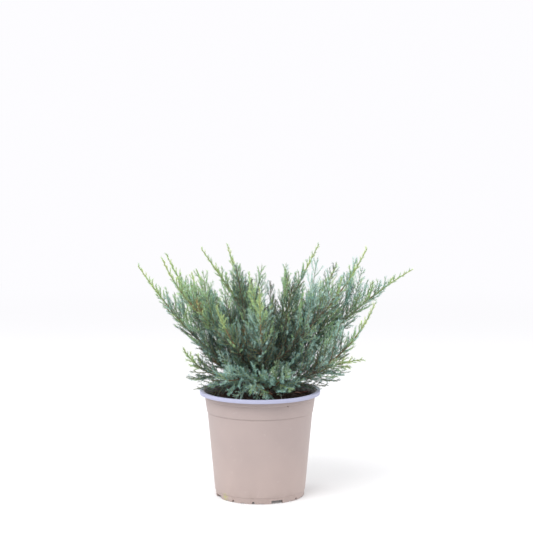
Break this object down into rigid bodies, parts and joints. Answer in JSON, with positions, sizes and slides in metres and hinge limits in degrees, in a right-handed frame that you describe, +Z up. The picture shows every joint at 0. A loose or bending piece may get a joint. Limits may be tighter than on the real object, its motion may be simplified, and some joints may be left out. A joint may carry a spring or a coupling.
{
  "type": "potted creeping juniper",
  "caption": "Young creeping juniper with arching feathery blue-green branches, in a round tapered nursery pot with a wide rim.",
  "frame": {"origin": "centre of the flat underside of the pot", "axes": "+Z up along the pot's axis, -Y towards the viewer of the picture, +X to the viewer's right"},
  "size_m": [0.4309, 0.326, 0.3972],
  "materials": {
    "pot": "matt taupe plastic with a paler, slightly lilac rim",
    "soil": "rough dark potting soil",
    "bark": "rough orange-brown bark",
    "foliage": "fine blue-green needles with yellow-green tips"
  },
  "bodies": {
    "root": {"bough_back_centre": "bark", "bough_back_left": "bark", "bough_back_right": "bark", "bough_crown_back": "bark", "bough_crown_left": "bark", "bough_crown_right": "bark", "bough_front_centre": "bark", "bough_front_left": "bark", "bough_front_right": "bark", "bough_left_front": "bark", "bough_left_outer": "bark", "bough_low_back_left": "bark", "bough_low_back_right": "bark", "bough_low_front": "bark", "bough_low_front_left": "bark", "bough_low_front_right": "bark", "bough_low_left": "bark", "bough_low_right": "bark", "bough_right_lower": "bark", "bough_right_outer": "bark", "mass_back_centre": "foliage", "mass_back_left": "foliage", "mass_back_right": "foliage", "mass_crown_back": "foliage", "mass_crown_left": "foliage", "mass_crown_right": "foliage", "mass_front_centre": "foliage", "mass_front_left": "foliage", "mass_front_right": "foliage", "mass_left_front": "foliage", "mass_left_outer": "foliage", "mass_low_back_left": "foliage", "mass_low_back_right": "foliage", "mass_low_front": "foliage", "mass_low_front_left": "foliage", "mass_low_front_right": "foliage", "mass_low_left": "foliage", "mass_low_right": "foliage", "mass_right_lower": "foliage", "mass_right_outer": "foliage", "pot": "pot", "soil": "soil", "trunk": "bark"}
  },
  "joints": []
}
